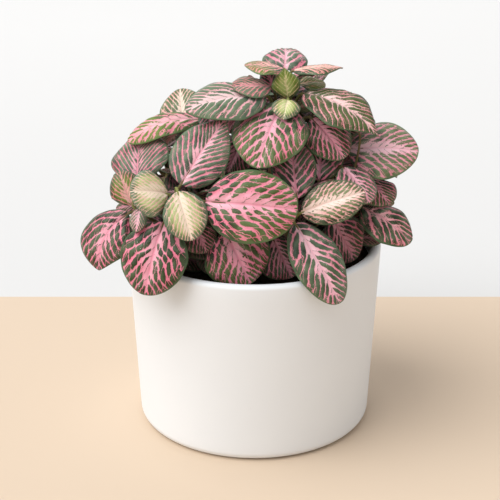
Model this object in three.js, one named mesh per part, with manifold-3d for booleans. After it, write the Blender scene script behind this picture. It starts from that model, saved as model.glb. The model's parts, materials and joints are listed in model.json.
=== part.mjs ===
// A nerve plant (Fittonia) in a plain round pot, in millimetres, +Z up.
// The origin is the centre of the pot's underside, and the plant's front looks along -Y.
import * as THREE from "three";
import { mergeVertices } from "three/addons/utils/BufferGeometryUtils.js";
import Module from "manifold-3d";

// ---- driving dimensions ------------------------------------------------------------------

const POT = {
  height: 96.5,
  rimRadius: 65,
  baseRadius: 60.5,
  wall: 4.7,
  floor: 6,
  footRounding: 4.7,
  lipRounding: 2.2,
  innerRounding: 8,
  segments: 40,
};
const SOIL = {
  edgeHeight: 86,
  mound: 3, // how much higher the soil is in the middle
  surfaceRings: 3,
};
const CLEARANCE = 0.35; // left between pieces that touch on the real plant
const STEM = { radius: 1.7, sides: 8, steps: 9 };
const PETIOLE = {
  radius: 1.1,
  rise: 0.5, // how steeply it leaves its stem: along the stem for each unit outwards
  straight: 0.3, // the share of its length that runs straight at each end
};
const BLADE = {
  thickness: 0.8,
  marginDrop: 0.16, // how far the margins hang below the midrib, for each unit of half width
  widest: 0.9, // the widest place lies nearer the neck the further this is below 1
  baseSharpness: 0.65,
  roundTip: 0.5,
};

// ---- stems: the points that each one grows through, from inside the soil to its growing tip ----

const STEMS = {
  stem_crown: [[4, 8, 68], [6, 7, 110], [11, 1, 150], [15, -5, 177]],
  stem_back_left: [[-18, 12, 68], [-24, 9, 110], [-27, 6, 140], [-28, 5, 157]],
  stem_left: [[-26, -12, 68], [-35, -20, 98], [-42, -30, 120], [-44, -34, 131]],
  stem_front: [[-12, -20, 68], [-17, -26, 96], [-25, -32, 118], [-30, -36, 132]],
  stem_front_right: [[10, -20, 68], [13, -26, 96], [17, -32, 114], [20, -36, 124]],
  stem_right: [[24, -2, 68], [31, -4, 105], [36, -5, 130], [38, -5, 147]],
  stem_low_right: [[38, -8, 68], [44, -11, 96], [48, -14, 112], [49, -15, 123]],
  stem_back_right: [[20, 22, 68], [27, 26, 105], [31, 28, 130], [33, 29, 147]],
  stem_back: [[-4, 28, 68], [-6, 36, 105], [-8, 40, 130], [-8, 41, 147]],
  stem_low_back: [[-34, 16, 68], [-41, 22, 96], [-45, 26, 112], [-46, 27, 124]],
};

// ---- leaves ------------------------------------------------------------------------------
// stem and height: the stem that carries the leaf, and how far up it, from 0 at its foot to 1.
// neck and tip: the two ends of the blade's midrib. face: the way the upper side looks.
// arch and sweep: how far the midrib bows towards the face, and to the leaf's right.
// point: how pointed the tip is, where it isn't round.

const LEAVES = [
  // name, stem, height, neck, tip, face, width, arch, sweep, point
  // the crown at the top of the tallest stem
  ["leaf_crown_back", "stem_crown", 0.95, [15, 6, 183], [16, 31, 188], [0, -0.3, 1], 23, 2, 0],
  ["leaf_crown_left", "stem_crown", 0.97, [14, -5, 186], [-5, -8, 188.6], [0, 0, 1], 20, 1, 0],
  ["leaf_crown_right", "stem_crown", 0.96, [19, -4, 185], [43, -6, 187], [0, 0.05, 1], 17, 1, 0, 0.9],
  ["leaf_bud_up", "stem_crown", 0.98, [16, -13, 174], [14, -14, 189], [0, -1, 0], 14, 1, 0],
  ["leaf_bud_down", "stem_crown", 0.9, [16, -17, 174], [14, -26.5, 168], [0, -0.6, 0.8], 14, 1, 0],
  ["leaf_crown_low_left", "stem_crown", 0.91, [8, -8, 178], [-11, -15, 180], [0, -0.4, 0.9], 17, 1, 0],
  ["leaf_crown_low_right", "stem_crown", 0.9, [22, -2, 178], [35, 3, 177], [0.1, -0.3, 1], 13, 1, 0],
  // the large leaves below the crown
  ["leaf_wing_left", "stem_crown", 0.88, [5, -9, 174], [-33, -29, 172], [-0.1, -0.5, 0.9], 29, 3, 0, 0.7],
  ["leaf_wing_right", "stem_crown", 0.85, [24, -9, 175], [59, -33, 160], [0.25, -0.5, 0.85], 29, 6, 0, 0.8],
  ["leaf_upper_front", "stem_crown", 0.78, [13, -11, 170], [1, -47, 149], [-0.1, -0.7, 0.7], 37, 3, 0],
  ["leaf_upper_left", "stem_crown", 0.74, [0, 1, 167], [-14, -22, 159], [-0.2, -0.6, 0.7], 24, 2, 0],
  // the left side
  ["leaf_back_left_up", "stem_back_left", 0.9, [-35, 8, 151], [-38, 23, 169], [-0.2, -0.8, 0.6], 24, 2, 0],
  ["leaf_left_reach", "stem_back_left", 0.96, [-27, -3, 160], [-62, -15, 152], [-0.1, -0.3, 1], 24, 5, 0],
  ["leaf_left_mid", "stem_left", 0.8, [-57, -25, 135], [-55, -9, 155], [-0.5, -0.8, 0.5], 33, 2, 0],
  ["leaf_left_tall", "stem_left", 0.95, [-35, -41, 139], [-14, -27, 167], [-0.2, -0.85, 0.5], 30, 2, 0, 0.6],
  ["leaf_left_small", "stem_left", 0.84, [-59, -34, 126], [-65, -30, 142], [-0.4, -0.8, 0.4], 18, 1, 0],
  ["leaf_pale_left", "stem_left", 0.92, [-41, -46, 136], [-58, -54, 140], [-0.2, -0.8, 0.6], 21, 2, 0],
  ["leaf_pale_right", "stem_left", 0.8, [-36, -51, 139], [-29, -63, 119], [0, -0.8, 0.6], 21, 2, 0],
  ["leaf_left_bud", "stem_left", 0.92, [-54, -44, 129], [-56, -52, 119], [-0.3, -0.8, 0.5], 9, 1, 0],
  ["leaf_left_hanging", "stem_left", 0.7, [-61, -34, 122], [-75, -46, 97], [-0.5, -0.7, 0.4], 29, 4, 3, 0.8],
  ["leaf_front_left", "stem_left", 0.75, [-43, -49, 123], [-52, -62, 91], [-0.25, -0.85, 0.4], 34, 3, 0],
  // the front and the middle
  ["leaf_inner_left", "stem_front", 0.6, [-29, -42, 119], [-23, -48, 107], [0, -0.8, 0.6], 17, 1, 0],
  ["leaf_front", "stem_front", 0.96, [-23, -51, 134], [20, -57, 132], [0, -0.9, 0.45], 35, 3, 0],
  ["leaf_front_low", "stem_front", 0.55, [-14, -43, 116], [-2, -53, 93], [0, -0.85, 0.5], 33, 2, 0],
  ["leaf_front_inner", "stem_front_right", 0.5, [9, -41, 111], [18, -48, 94], [0, -0.8, 0.6], 24, 1, 0],
  ["leaf_deep_left", "stem_crown", 0.6, [-6, -15, 153], [-13, -26, 140], [-0.2, -0.8, 0.5], 20, 1, 0],
  ["leaf_mid_right", "stem_front_right", 0.9, [20, -41, 132], [17, -20, 156], [0, -0.88, 0.45], 22, 2, 0],
  ["leaf_mid_right_behind", "stem_right", 0.75, [31, -26, 136], [34, -9, 160], [0.1, -0.85, 0.4], 24, 1, 0],
  // the right side
  ["leaf_upper_right", "stem_crown", 0.75, [28, -12, 163], [43, -26, 147], [0.3, -0.7, 0.6], 25, 2, 0],
  ["leaf_right_reach", "stem_right", 0.97, [46, -10, 147], [80, -18, 148], [0.1, -0.75, 0.65], 31, 3, 0],
  ["leaf_right_mid", "stem_right", 0.66, [43, -24, 142], [55, -39, 129], [0.3, -0.7, 0.6], 20, 2, 0],
  ["leaf_pale_front", "stem_front_right", 0.95, [22, -47, 127], [52, -46, 137], [0.1, -0.8, 0.6], 21, 2, 0],
  ["leaf_right_low", "stem_low_right", 0.95, [56, -12, 132], [66, -24, 123], [0.4, -0.7, 0.5], 22, 1, 0],
  ["leaf_right_hanging", "stem_low_right", 0.88, [53, -23, 121], [76, -35, 107], [0.3, -0.55, 0.8], 25, 3, 0],
  ["leaf_right_inner", "stem_low_right", 0.6, [38, -32, 118], [49, -31, 96], [0.3, -0.85, 0.4], 27, 1, 0],
  ["leaf_front_right", "stem_front_right", 0.84, [19, -48, 122], [40, -65, 88], [0.15, -0.85, 0.5], 24, 3, 0],
  // the back
  ["leaf_upper_back", "stem_crown", 0.8, [14, 10, 169], [18, 44, 160], [0, 0.5, 0.85], 32, 4, 0],
  ["leaf_back_left_high", "stem_back_left", 0.97, [-24, 17, 159], [-30, 48, 150], [-0.2, 0.5, 0.8], 30, 4, 0],
  ["leaf_back_right_high", "stem_back_right", 0.97, [38, 22, 155], [62, 34, 148], [0.4, 0.4, 0.8], 28, 4, 0],
  ["leaf_back_mid", "stem_back", 0.97, [-6, 50, 148], [0, 76, 130], [0, 0.7, 0.7], 34, 4, 0],
  ["leaf_back_mid_left", "stem_back", 0.9, [-28, 46, 142], [-50, 62, 126], [-0.4, 0.6, 0.7], 30, 4, 0],
  ["leaf_back_mid_right", "stem_back_right", 0.92, [38, 40, 140], [54, 62, 120], [0.5, 0.6, 0.6], 32, 4, 0],
  ["leaf_back_far_left", "stem_low_back", 0.95, [-54, 28, 130], [-74, 36, 113], [-0.6, 0.3, 0.7], 28, 4, 0],
  ["leaf_back_far_right", "stem_back_right", 0.85, [52, 18, 136], [74, 26, 121], [0.6, 0.2, 0.75], 28, 4, 0],
  ["leaf_back_low_right", "stem_back_right", 0.6, [44, 42, 118], [66, 58, 96], [0.5, 0.6, 0.6], 30, 4, 0],
  ["leaf_back_low", "stem_back", 0.75, [12, 56, 122], [20, 80, 98], [0.1, 0.85, 0.5], 32, 4, 0],
  ["leaf_back_low_left", "stem_back", 0.65, [-20, 56, 118], [-28, 80, 96], [-0.2, 0.85, 0.5], 30, 4, 0],
  ["leaf_back_corner", "stem_low_back", 0.85, [-46, 44, 116], [-66, 62, 96], [-0.5, 0.6, 0.6], 30, 4, 0],
];

// ---- curves and lofts --------------------------------------------------------------------

const vector = ([x, y, z]) => new THREE.Vector3(x, y, z);
const stemCurves = Object.fromEntries(
  Object.entries(STEMS).map(([name, points]) => [
    name,
    new THREE.CatmullRomCurve3(points.map(vector)),
  ]),
);

// A closed surface through rings of equal count, flat across the first and pointed past the last.
function loft(rings, apex) {
  const count = rings[0].length;
  const corners = [...rings.flat(), apex];
  const index = [];
  for (let i = 1; i < count - 1; i++) {
    index.push(0, i + 1, i);
  }
  for (let ring = 0; ring < rings.length - 1; ring++) {
    for (let i = 0; i < count; i++) {
      const [a, b] = [ring * count + i, ring * count + ((i + 1) % count)];
      index.push(a, b, b + count, a, b + count, a + count);
    }
  }
  const last = (rings.length - 1) * count;
  for (let i = 0; i < count; i++) {
    index.push(last + i, last + ((i + 1) % count), corners.length - 1);
  }
  const geometry = new THREE.BufferGeometry().setFromPoints(corners);
  geometry.setIndex(index);
  return geometry;
}

// The two directions across a path: sideways, and out of the upper face.
function across(tangent, face) {
  const side = new THREE.Vector3().crossVectors(tangent, face).normalize();
  const normal = new THREE.Vector3().crossVectors(side, tangent).normalize();
  return { side, normal };
}

// ---- leaves ------------------------------------------------------------------------------

const PETIOLE_STATIONS = [0, 0.5];
const PETIOLE_CORNERS = [180, 135, 90, 45, 0, 270]; // degrees, in the order of a blade's columns
const BLADE_STATIONS = [0.03, 0.13, 0.3, 0.48, 0.66, 0.82, 0.94];
const BLADE_COLUMNS = [-1, -0.5, 0, 0.5, 1];

// Half the blade's width along the midrib: rounded at the neck and widest just before the middle.
function halfWidth(station, width, point) {
  const sharpness = THREE.MathUtils.lerp(BLADE.baseSharpness, point, station);
  return (width / 2) * Math.sin(Math.PI * station ** BLADE.widest) ** sharpness;
}

function bladeRing(centre, { side, normal }, half) {
  const top = BLADE_COLUMNS.map((column) =>
    centre
      .clone()
      .addScaledVector(side, column * half)
      .addScaledVector(normal, -BLADE.marginDrop * half * column ** 2),
  );
  return [...top, centre.clone().addScaledVector(normal, -BLADE.thickness)];
}

function petioleRing(centre, { side, normal }) {
  return PETIOLE_CORNERS.map((degrees) => {
    const angle = THREE.MathUtils.degToRad(degrees);
    return centre
      .clone()
      .addScaledVector(side, PETIOLE.radius * Math.cos(angle))
      .addScaledVector(normal, PETIOLE.radius * Math.sin(angle));
  });
}

// The rings of a petiole from its root on, carried back from the directions at the neck without a twist.
function petioleRings(petiole, { side, normal }) {
  const heading = petiole.getTangent(1);
  const rings = PETIOLE_STATIONS.toReversed().map((at) => {
    const turn = new THREE.Quaternion().setFromUnitVectors(heading, petiole.getTangent(at));
    heading.applyQuaternion(turn);
    side.applyQuaternion(turn);
    normal.applyQuaternion(turn);
    return petioleRing(petiole.getPoint(at), { side, normal });
  });
  return rings.toReversed();
}

// A petiole leaves its stem at a steep angle and runs into the midrib without a kink.
function petioleCurve(stem, height, midrib) {
  const node = stem.getPointAt(height);
  const axis = stem.getTangentAt(height);
  const neck = midrib.getPoint(0);
  const reach = neck.clone().sub(node);
  const straight = PETIOLE.straight * reach.length();
  const rise = PETIOLE.rise * Math.sign(reach.dot(axis));
  const outward = reach.projectOnPlane(axis).normalize().addScaledVector(axis, rise).normalize();
  const root = node.addScaledVector(
    outward,
    STEM.radius + PETIOLE.radius * PETIOLE.rise + CLEARANCE,
  );
  return new THREE.CubicBezierCurve3(
    root,
    root.clone().addScaledVector(outward, straight),
    neck.clone().addScaledVector(midrib.getTangent(0), -straight),
    neck,
  );
}

function leafGeometry([, stem, height, neck, tip, face, width, arch, sweep, point]) {
  const start = vector(neck);
  const end = vector(tip);
  const chord = across(end.clone().sub(start), vector(face));
  const middle = start
    .clone()
    .lerp(end, 0.5)
    .addScaledVector(chord.normal, 2 * arch)
    .addScaledVector(chord.side, 2 * sweep);
  const midrib = new THREE.QuadraticBezierCurve3(start, middle, end);

  const petiole = petioleCurve(stemCurves[stem], height, midrib);

  const rings = [
    ...petioleRings(petiole, across(midrib.getTangent(0), chord.normal)),
    ...BLADE_STATIONS.map((at) =>
      bladeRing(
        midrib.getPoint(at),
        across(midrib.getTangent(at), chord.normal),
        halfWidth(at, width, point ?? BLADE.roundTip),
      ),
    ),
  ];
  return loft(rings, end);
}

// ---- pot, soil and stems -------------------------------------------------------------------

// Points of a rounded corner in a lathe's profile, as [radius, height] about a centre.
function corner([centreRadius, centreHeight], rounding, fromDegrees, toDegrees, steps) {
  return Array.from({ length: steps + 1 }, (_, i) => {
    const angle = THREE.MathUtils.degToRad(fromDegrees + ((toDegrees - fromDegrees) * i) / steps);
    return new THREE.Vector2(
      centreRadius + rounding * Math.cos(angle),
      centreHeight + rounding * Math.sin(angle),
    );
  });
}

function lathe(profile) {
  return new THREE.LatheGeometry(profile, POT.segments).rotateX(Math.PI / 2);
}

// The radius of the outer wall at a height.
function wallRadius(height) {
  return THREE.MathUtils.lerp(POT.baseRadius, POT.rimRadius, height / POT.height);
}

function potGeometry() {
  const foot = POT.footRounding;
  const lip = POT.lipRounding;
  const inner = POT.innerRounding;
  const top = POT.height - lip;
  return lathe([
    new THREE.Vector2(0, 0),
    ...corner([wallRadius(foot) - foot, foot], foot, -90, 0, 4),
    ...corner([wallRadius(top) - lip, top], lip, 0, 90, 3),
    ...corner([wallRadius(top) - POT.wall + lip, top], lip, 90, 180, 3),
    ...corner([wallRadius(POT.floor) - POT.wall - inner, POT.floor + inner], inner, 0, -90, 3),
    new THREE.Vector2(0, POT.floor),
  ]);
}

function stemGeometry(path, radius) {
  const section = new THREE.Shape();
  section.absarc(0, 0, radius, 0, 2 * Math.PI);
  return new THREE.ExtrudeGeometry(section, {
    extrudePath: path,
    steps: STEM.steps,
    curveSegments: STEM.sides / 2, // a full circle takes twice as many
  });
}

const wasm = await Module();
wasm.setup();

function toSolid(geometry) {
  const plain = new THREE.BufferGeometry();
  plain.setAttribute("position", geometry.getAttribute("position").clone());
  plain.setIndex(geometry.index);
  const merged = mergeVertices(plain, 1e-3);
  return new wasm.Manifold(
    new wasm.Mesh({
      numProp: 3,
      vertProperties: merged.getAttribute("position").array,
      triVerts: new Uint32Array(merged.index.array),
    }),
  );
}

function fromSolid(solid) {
  const { vertProperties, triVerts } = solid.getMesh();
  const geometry = new THREE.BufferGeometry();
  geometry.setAttribute("position", new THREE.BufferAttribute(vertProperties, 3));
  geometry.setIndex(new THREE.BufferAttribute(triVerts, 1));
  return geometry;
}

// Potting soil that fills the pot, with a hole round each stem's foot.
function soilGeometry() {
  const inner = POT.innerRounding;
  const low = POT.floor + CLEARANCE;
  const wall = POT.wall + CLEARANCE;
  const edge = wallRadius(SOIL.edgeHeight) - wall;
  const surface = Array.from({ length: SOIL.surfaceRings + 1 }, (_, i) => {
    const share = 1 - i / SOIL.surfaceRings;
    return new THREE.Vector2(share * edge, SOIL.edgeHeight + SOIL.mound * (1 - share ** 2));
  });
  const body = lathe([
    new THREE.Vector2(0, low),
    ...corner([wallRadius(POT.floor) - wall - inner, low + inner], inner, -90, 0, 3),
    ...surface,
  ]);
  const bored = Object.values(stemCurves).reduce(
    (soil, path) => soil.subtract(toSolid(stemGeometry(path, STEM.radius + CLEARANCE))),
    toSolid(body),
  );
  return fromSolid(bored);
}

// ---- the assembly --------------------------------------------------------------------------

const FINISHES = {
  pot: { color: 0xf4f2ef, roughness: 0.5, metalness: 0 },
  soil: { color: 0x1e1713, roughness: 1, metalness: 0 },
  stem: { color: 0x8a8f5a, roughness: 0.6, metalness: 0 },
  leaf: { color: 0x9a6670, roughness: 0.5, metalness: 0 },
};

const plant = new THREE.Group();

// The finish is the one that the name's first word gives.
function add(name, geometry) {
  const finish = FINISHES[name.split("_")[0]];
  const mesh = new THREE.Mesh(geometry, new THREE.MeshStandardMaterial(finish));
  mesh.name = name;
  plant.add(mesh);
}

add("pot", potGeometry());
add("soil", soilGeometry());
for (const [name, path] of Object.entries(stemCurves)) {
  add(name, stemGeometry(path, STEM.radius));
}
for (const leaf of LEAVES) {
  add(leaf[0], leafGeometry(leaf));
}

export default plant;
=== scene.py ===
"""Looks for the potted nerve plant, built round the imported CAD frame.

Each CAD leaf is read back from its mesh as a midrib, a face and an outline, and a detailed leaf
replaces it. Smaller leaves that have no CAD node then grow along the stems. Lengths are metres,
except where a comment says mm.
"""

import json
import math
from functools import partial, partialmethod
from types import SimpleNamespace

import bmesh
import bpy
import numpy as np
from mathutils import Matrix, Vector
from mathutils.bvhtree import BVHTree

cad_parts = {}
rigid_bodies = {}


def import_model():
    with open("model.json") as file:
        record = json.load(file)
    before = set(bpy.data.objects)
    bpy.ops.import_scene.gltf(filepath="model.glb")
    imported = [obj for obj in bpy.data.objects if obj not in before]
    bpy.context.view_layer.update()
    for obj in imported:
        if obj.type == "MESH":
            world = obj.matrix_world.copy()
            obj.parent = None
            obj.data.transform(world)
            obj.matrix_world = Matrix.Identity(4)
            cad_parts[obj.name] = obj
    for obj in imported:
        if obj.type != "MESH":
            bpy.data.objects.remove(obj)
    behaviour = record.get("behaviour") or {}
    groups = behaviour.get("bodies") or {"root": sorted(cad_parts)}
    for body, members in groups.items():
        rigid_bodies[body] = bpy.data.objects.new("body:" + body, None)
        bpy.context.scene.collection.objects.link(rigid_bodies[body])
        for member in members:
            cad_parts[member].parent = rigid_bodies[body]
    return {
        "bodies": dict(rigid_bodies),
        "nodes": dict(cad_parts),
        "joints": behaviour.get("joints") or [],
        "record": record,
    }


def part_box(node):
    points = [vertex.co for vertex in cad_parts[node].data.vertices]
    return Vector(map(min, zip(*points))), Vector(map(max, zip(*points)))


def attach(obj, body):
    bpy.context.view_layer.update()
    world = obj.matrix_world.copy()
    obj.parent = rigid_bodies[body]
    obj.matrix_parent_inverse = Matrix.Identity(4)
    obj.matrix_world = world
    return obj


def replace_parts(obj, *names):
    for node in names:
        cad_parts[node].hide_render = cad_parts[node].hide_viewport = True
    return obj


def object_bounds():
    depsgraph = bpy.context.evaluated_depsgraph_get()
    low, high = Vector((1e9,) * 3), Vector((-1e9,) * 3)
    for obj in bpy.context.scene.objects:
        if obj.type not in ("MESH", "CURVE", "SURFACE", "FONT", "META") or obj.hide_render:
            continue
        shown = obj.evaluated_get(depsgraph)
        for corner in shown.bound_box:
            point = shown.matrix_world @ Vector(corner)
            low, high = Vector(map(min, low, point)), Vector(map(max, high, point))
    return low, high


MM = 0.001
BODY = "root"

# ---- the camera and the stage ----

CAMERA_PLACE = (-0.00227, -0.6261, 0.3364)
CAMERA_TARGET = (-0.00227, 0.0, 0.0895)
CAMERA_LENS = 93.8  # mm, on a sensor 36 mm wide
SENSOR = 36.0
TABLE_BACK = 0.145  # where the pale table ends and the white ground begins

# ---- how the CAD leaves and stems were lofted ----

WELD = 1e-5
RING = 6  # corners in each ring of a leaf
BLADE_STATIONS = (0.03, 0.13, 0.3, 0.48, 0.66, 0.82, 0.94)
WIDEST = 0.9
BASE_SHARPNESS = 0.65
STEM_RING = 8  # corners in each ring of a stem
STEM_RADIUS = 1.7 * MM

# ---- numbers that shape the detailed leaves ----

FOLD = 0.2  # how steeply the two halves of a blade rise from the midrib
CELL = 0.8 * MM  # how far apart a large leaf's mesh lines lie
DROP = 0.17  # how far the margins hang, for each unit of half width
VEIN_RISE = 0.95
VEIN_FAN = 0.95
VEIN_BEND = 0.35
VEINS = 5.6  # side veins that the smallest leaf has on each side
VEIN_SPACING = 10 * MM  # and the length that brings one more
WAVES = 7  # that add up to one ripple
STALK_RING = 8
STALK_AT = 3.0  # mm from the midrib, as the material counts on a stalk


def smooth(x, low, high):
    share = np.clip((x - low) / (high - low), 0, 1)
    return share * share * (3 - 2 * share)


def unit(v):
    return v / np.maximum(np.linalg.norm(v, axis=-1, keepdims=True), 1e-12)


class Ripple:
    """Gentle random waves over a surface, of about unit height and the given wavelength."""

    def __init__(self, rng, wavelength):
        angle = rng.uniform(0, 2 * math.pi, WAVES)
        number = 2 * math.pi / (wavelength * rng.uniform(0.7, 1.7, WAVES))
        self.waves = np.stack([number * np.cos(angle), number * np.sin(angle)])
        self.phase = rng.uniform(0, 2 * math.pi, WAVES)

    def __call__(self, x, y):
        at = x[..., None] * self.waves[0] + y[..., None] * self.waves[1] + self.phase
        return np.sin(at).sum(-1) / math.sqrt(WAVES / 2)


# ---- node trees written as arithmetic ----


def feed(tree, item, slot):
    """Links a Term to a socket, or sets the socket's own number or colour."""
    if isinstance(item, Term):
        tree.links.new(item.socket, slot)
    else:
        slot.default_value = (*item, 1.0) if isinstance(item, tuple) else item


def add_node(tree, kind, output, inputs, **settings):
    """Adds a node with these settings, feeds its inputs, and gives one output as a Term."""
    node = tree.nodes.new(kind)
    for name, value in settings.items():
        setattr(node, name, value)
    for name, item in inputs.items():
        feed(tree, item, node.inputs[name])
    return Term(tree, node.outputs[output])


class Term:
    """A number in a node tree. Ordinary arithmetic works on it, and the names in MATHS do."""

    def __init__(self, tree, socket):
        self.tree = tree
        self.socket = socket

    def math(self, kind, *others):
        inputs = dict(enumerate((self, *others)))
        return add_node(self.tree, "ShaderNodeMath", 0, inputs, operation=kind)

    def __rsub__(self, other):
        return self * -1.0 + other

    def step(self, low, high):
        """0 at low and 1 at high, smooth between them. Either may be a Term."""
        inputs = {"Value": self, "From Min": low, "From Max": high}
        kind = "SMOOTHSTEP"
        return add_node(self.tree, "ShaderNodeMapRange", 0, inputs, interpolation_type=kind)


MATHS = {
    "__add__": "ADD",
    "__radd__": "ADD",
    "__sub__": "SUBTRACT",
    "__mul__": "MULTIPLY",
    "__rmul__": "MULTIPLY",
    "__truediv__": "DIVIDE",
    "__pow__": "POWER",
    "abs": "ABSOLUTE",
    "fract": "FRACT",
    "floor": "FLOOR",
    "sign": "SIGN",
    "least": "MINIMUM",
    "most": "MAXIMUM",
}
for method, kind in MATHS.items():
    setattr(Term, method, partialmethod(Term.math, kind))


class Look:
    """A new material, with short ways to add nodes to it."""

    def __init__(self, name):
        self.material = bpy.data.materials.new(name)
        self.material.use_nodes = True
        self.tree = self.material.node_tree
        self.node = partial(add_node, self.tree)

    def attribute(self, name):
        """The three numbers of a mesh attribute."""
        value = self.node("ShaderNodeAttribute", "Vector", {}, attribute_name=name)
        parts = self.node("ShaderNodeSeparateXYZ", 0, {0: value}).socket.node
        return [Term(self.tree, socket) for socket in parts.outputs]

    def vector(self, x, y, z):
        return self.node("ShaderNodeCombineXYZ", 0, {0: x, 1: y, 2: z})

    def place(self):
        return self.node("ShaderNodeTexCoord", "Object", {})

    def noise(self, at, scale, detail=2.0, rough=0.5):
        inputs = {"Vector": at, "Scale": scale, "Detail": detail, "Roughness": rough}
        return self.node("ShaderNodeTexNoise", 0, inputs)

    def cells(self, at, scale, dimensions="3D"):
        """How far each place is from the nearest of many random points."""
        inputs = {"Vector": at, "Scale": scale}
        kind = "ShaderNodeTexVoronoi"
        return self.node(kind, "Distance", inputs, voronoi_dimensions=dimensions)

    def hash(self, at):
        """A random number from 0 to 1 for each value of at."""
        return self.node("ShaderNodeTexWhiteNoise", "Value", {"Vector": at}, noise_dimensions="3D")

    def mix(self, share, one, other):
        """Colour one where share is 0, and other where it is 1."""
        return self.node("ShaderNodeMix", 2, {0: share, 6: one, 7: other}, data_type="RGBA")

    def bump(self, height, distance, strength):
        inputs = {"Strength": strength, "Distance": distance, "Height": height}
        self.set(Normal=self.node("ShaderNodeBump", 0, inputs))

    def set(self, **values):
        """Feeds the shader's sockets, whose names have spaces where these have underscores."""
        shader = self.tree.nodes["Principled BSDF"]
        for name, value in values.items():
            feed(self.tree, value, shader.inputs[name.replace("_", " ")])


# ---- materials ----


# Colours are in linear light. Where a name holds two, the first is the darker one.
HOT_PINK = (0.82, 0.165, 0.30), (0.92, 0.31, 0.455)
SALMON = (0.86, 0.34, 0.27), (0.92, 0.49, 0.40)
THIN_VEIN = (0.70, 0.13, 0.18)
PINK_WHITE = (0.93, 0.62, 0.71)
CREAM = (0.95, 0.80, 0.58)
MIDRIB = (0.60, 0.12, 0.20)
LIME_VEIN = (0.52, 0.56, 0.20)
DEEP_GREEN = (0.008, 0.016, 0.007), (0.026, 0.044, 0.018)
PAINTED_SHEEN_GREEN = (0.092, 0.148, 0.106), (0.184, 0.243, 0.171)
ISLAND_MIDDLE = (0.050, 0.080, 0.032)
OLIVE = (0.15, 0.215, 0.03)
FRESH = (0.17, 0.27, 0.015), (0.60, 0.64, 0.29)
MARGIN = (0.13, 0.22, 0.11)
GRAIN = (0.26, 0.34, 0.22)
BACK_VEIN = (0.52, 0.31, 0.28)
BACK_GREEN = (0.17, 0.23, 0.12)
STALK = (0.13, 0.14, 0.045), (0.20, 0.11, 0.06)
PALE_STALK = (0.36, 0.40, 0.12)
GLINT = (0.93, 0.91, 0.90)
SHADE = (0.010, 0.007, 0.003)


def leaf_numbers(look):
    """What comes with each leaf's mesh, and the noises and places that all its colours share."""
    f = SimpleNamespace()
    f.x, f.y, f.seed = look.attribute("leaf_at")  # mm across and along, and the leaf's own number
    f.phase, f.pitch, f.edge = look.attribute("leaf_vein")  # mm for the last two
    f.pink, f.warm, f.pale = look.attribute("leaf_pink")
    f.light, f.lime, f.olive = look.attribute("leaf_green")
    f.islands, f.halo, f.dim = look.attribute("leaf_net")
    f.under, f.stalk, f.along = look.attribute("leaf_kind")
    f.at = look.vector(f.x, f.y, f.seed)
    f.cloud = look.noise(f.at, 0.16)
    f.warp = look.noise(f.at, 0.45)
    f.drift = look.noise(look.vector(f.y, f.x, f.seed + 9.0), 0.45)
    f.ragged = look.noise(f.at, 1.2, 3.0, 0.65)
    f.grain = look.noise(f.at, 4.0, 3.0, 0.6)
    f.out = f.x.abs()
    f.share = f.out / (f.out + f.edge + 0.01)  # 0 on the midrib and 1 at the margin
    return f


def islands(look, f):
    """How far inside a green island a place lies, in mm. Below 0 it is in the pink net."""
    share, pitch, pink = f.share, f.pitch, f.pink
    # islands lie in rows between the side veins, and links part them along each row
    bent = f.phase + (f.warp - 0.5) * 0.42
    row = bent.floor()
    turn = look.hash(look.vector(row, f.x.sign(), f.seed))
    strength = look.hash(look.vector((bent + 0.5).floor(), f.x.sign() * 2.0, f.seed)) * 0.8 + 0.6
    spacing = pitch * (1.15 + (1.0 - f.islands) ** 2.0 * 7.0)
    chain = f.out * 1.8 / spacing + turn + (f.drift - 0.5) * 0.6
    own = look.hash(look.vector(row + f.x.sign() * 0.3, chain.floor(), f.seed))
    vein = pitch * strength * (0.035 + pink * 0.13) * (1.4 - share * 0.8) * share.step(1.15, 0.55)
    link = pitch * (0.012 + pink * 0.06) * (1.4 - share * 0.9) * share.step(1.0, 0.7)
    fill = (share + (own - 0.5) * 0.28).step(f.halo * 0.25, f.halo * 0.95 + 0.06) * (0.80 + own * 0.20)
    breadth = ((pitch * 0.5 - vein) * fill).most(0.02)
    length = ((spacing * 0.5 - link) * (0.5 + fill * 0.5)).most(0.02)
    off_row = (bent.fract() - 0.5).abs() * pitch / breadth
    off_cell = (chain.fract() - 0.5).abs() * spacing / length
    inside = (1.0 - (off_row**3.2 + off_cell**4.0) ** 0.3) * breadth
    # each side vein forks towards the margin
    fork = share.step(0.35, 1.05) * (0.34 + turn * 0.22)
    apart = (0.5 - ((bent - fork).fract() - 0.5).abs()) * pitch
    branch = pitch * (0.02 + pink * 0.09) * share.step(1.08, 0.7) * share.step(0.15, 0.5)
    inside = inside.least(apart - branch)
    inside = inside.most(pitch * (0.06 + f.warp * 0.32) - f.edge)
    freckle = (0.3 - look.cells(f.at, 0.42, "2D")) * 2.0 * share.step(0.05, 0.2) * pink.step(0.45, 0.7)
    inside = inside.most(freckle * f.drift.step(0.42, 0.56) - 0.22)
    inside = inside + (f.ragged - 0.5) * 0.42
    f.rib = f.out.step(0.75, 0.25) * (1.0 - f.along * 0.4)
    return inside.least((f.out - (0.3 + pink * 0.9) * (1.05 - f.along * 0.75)) * 1.2)


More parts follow.
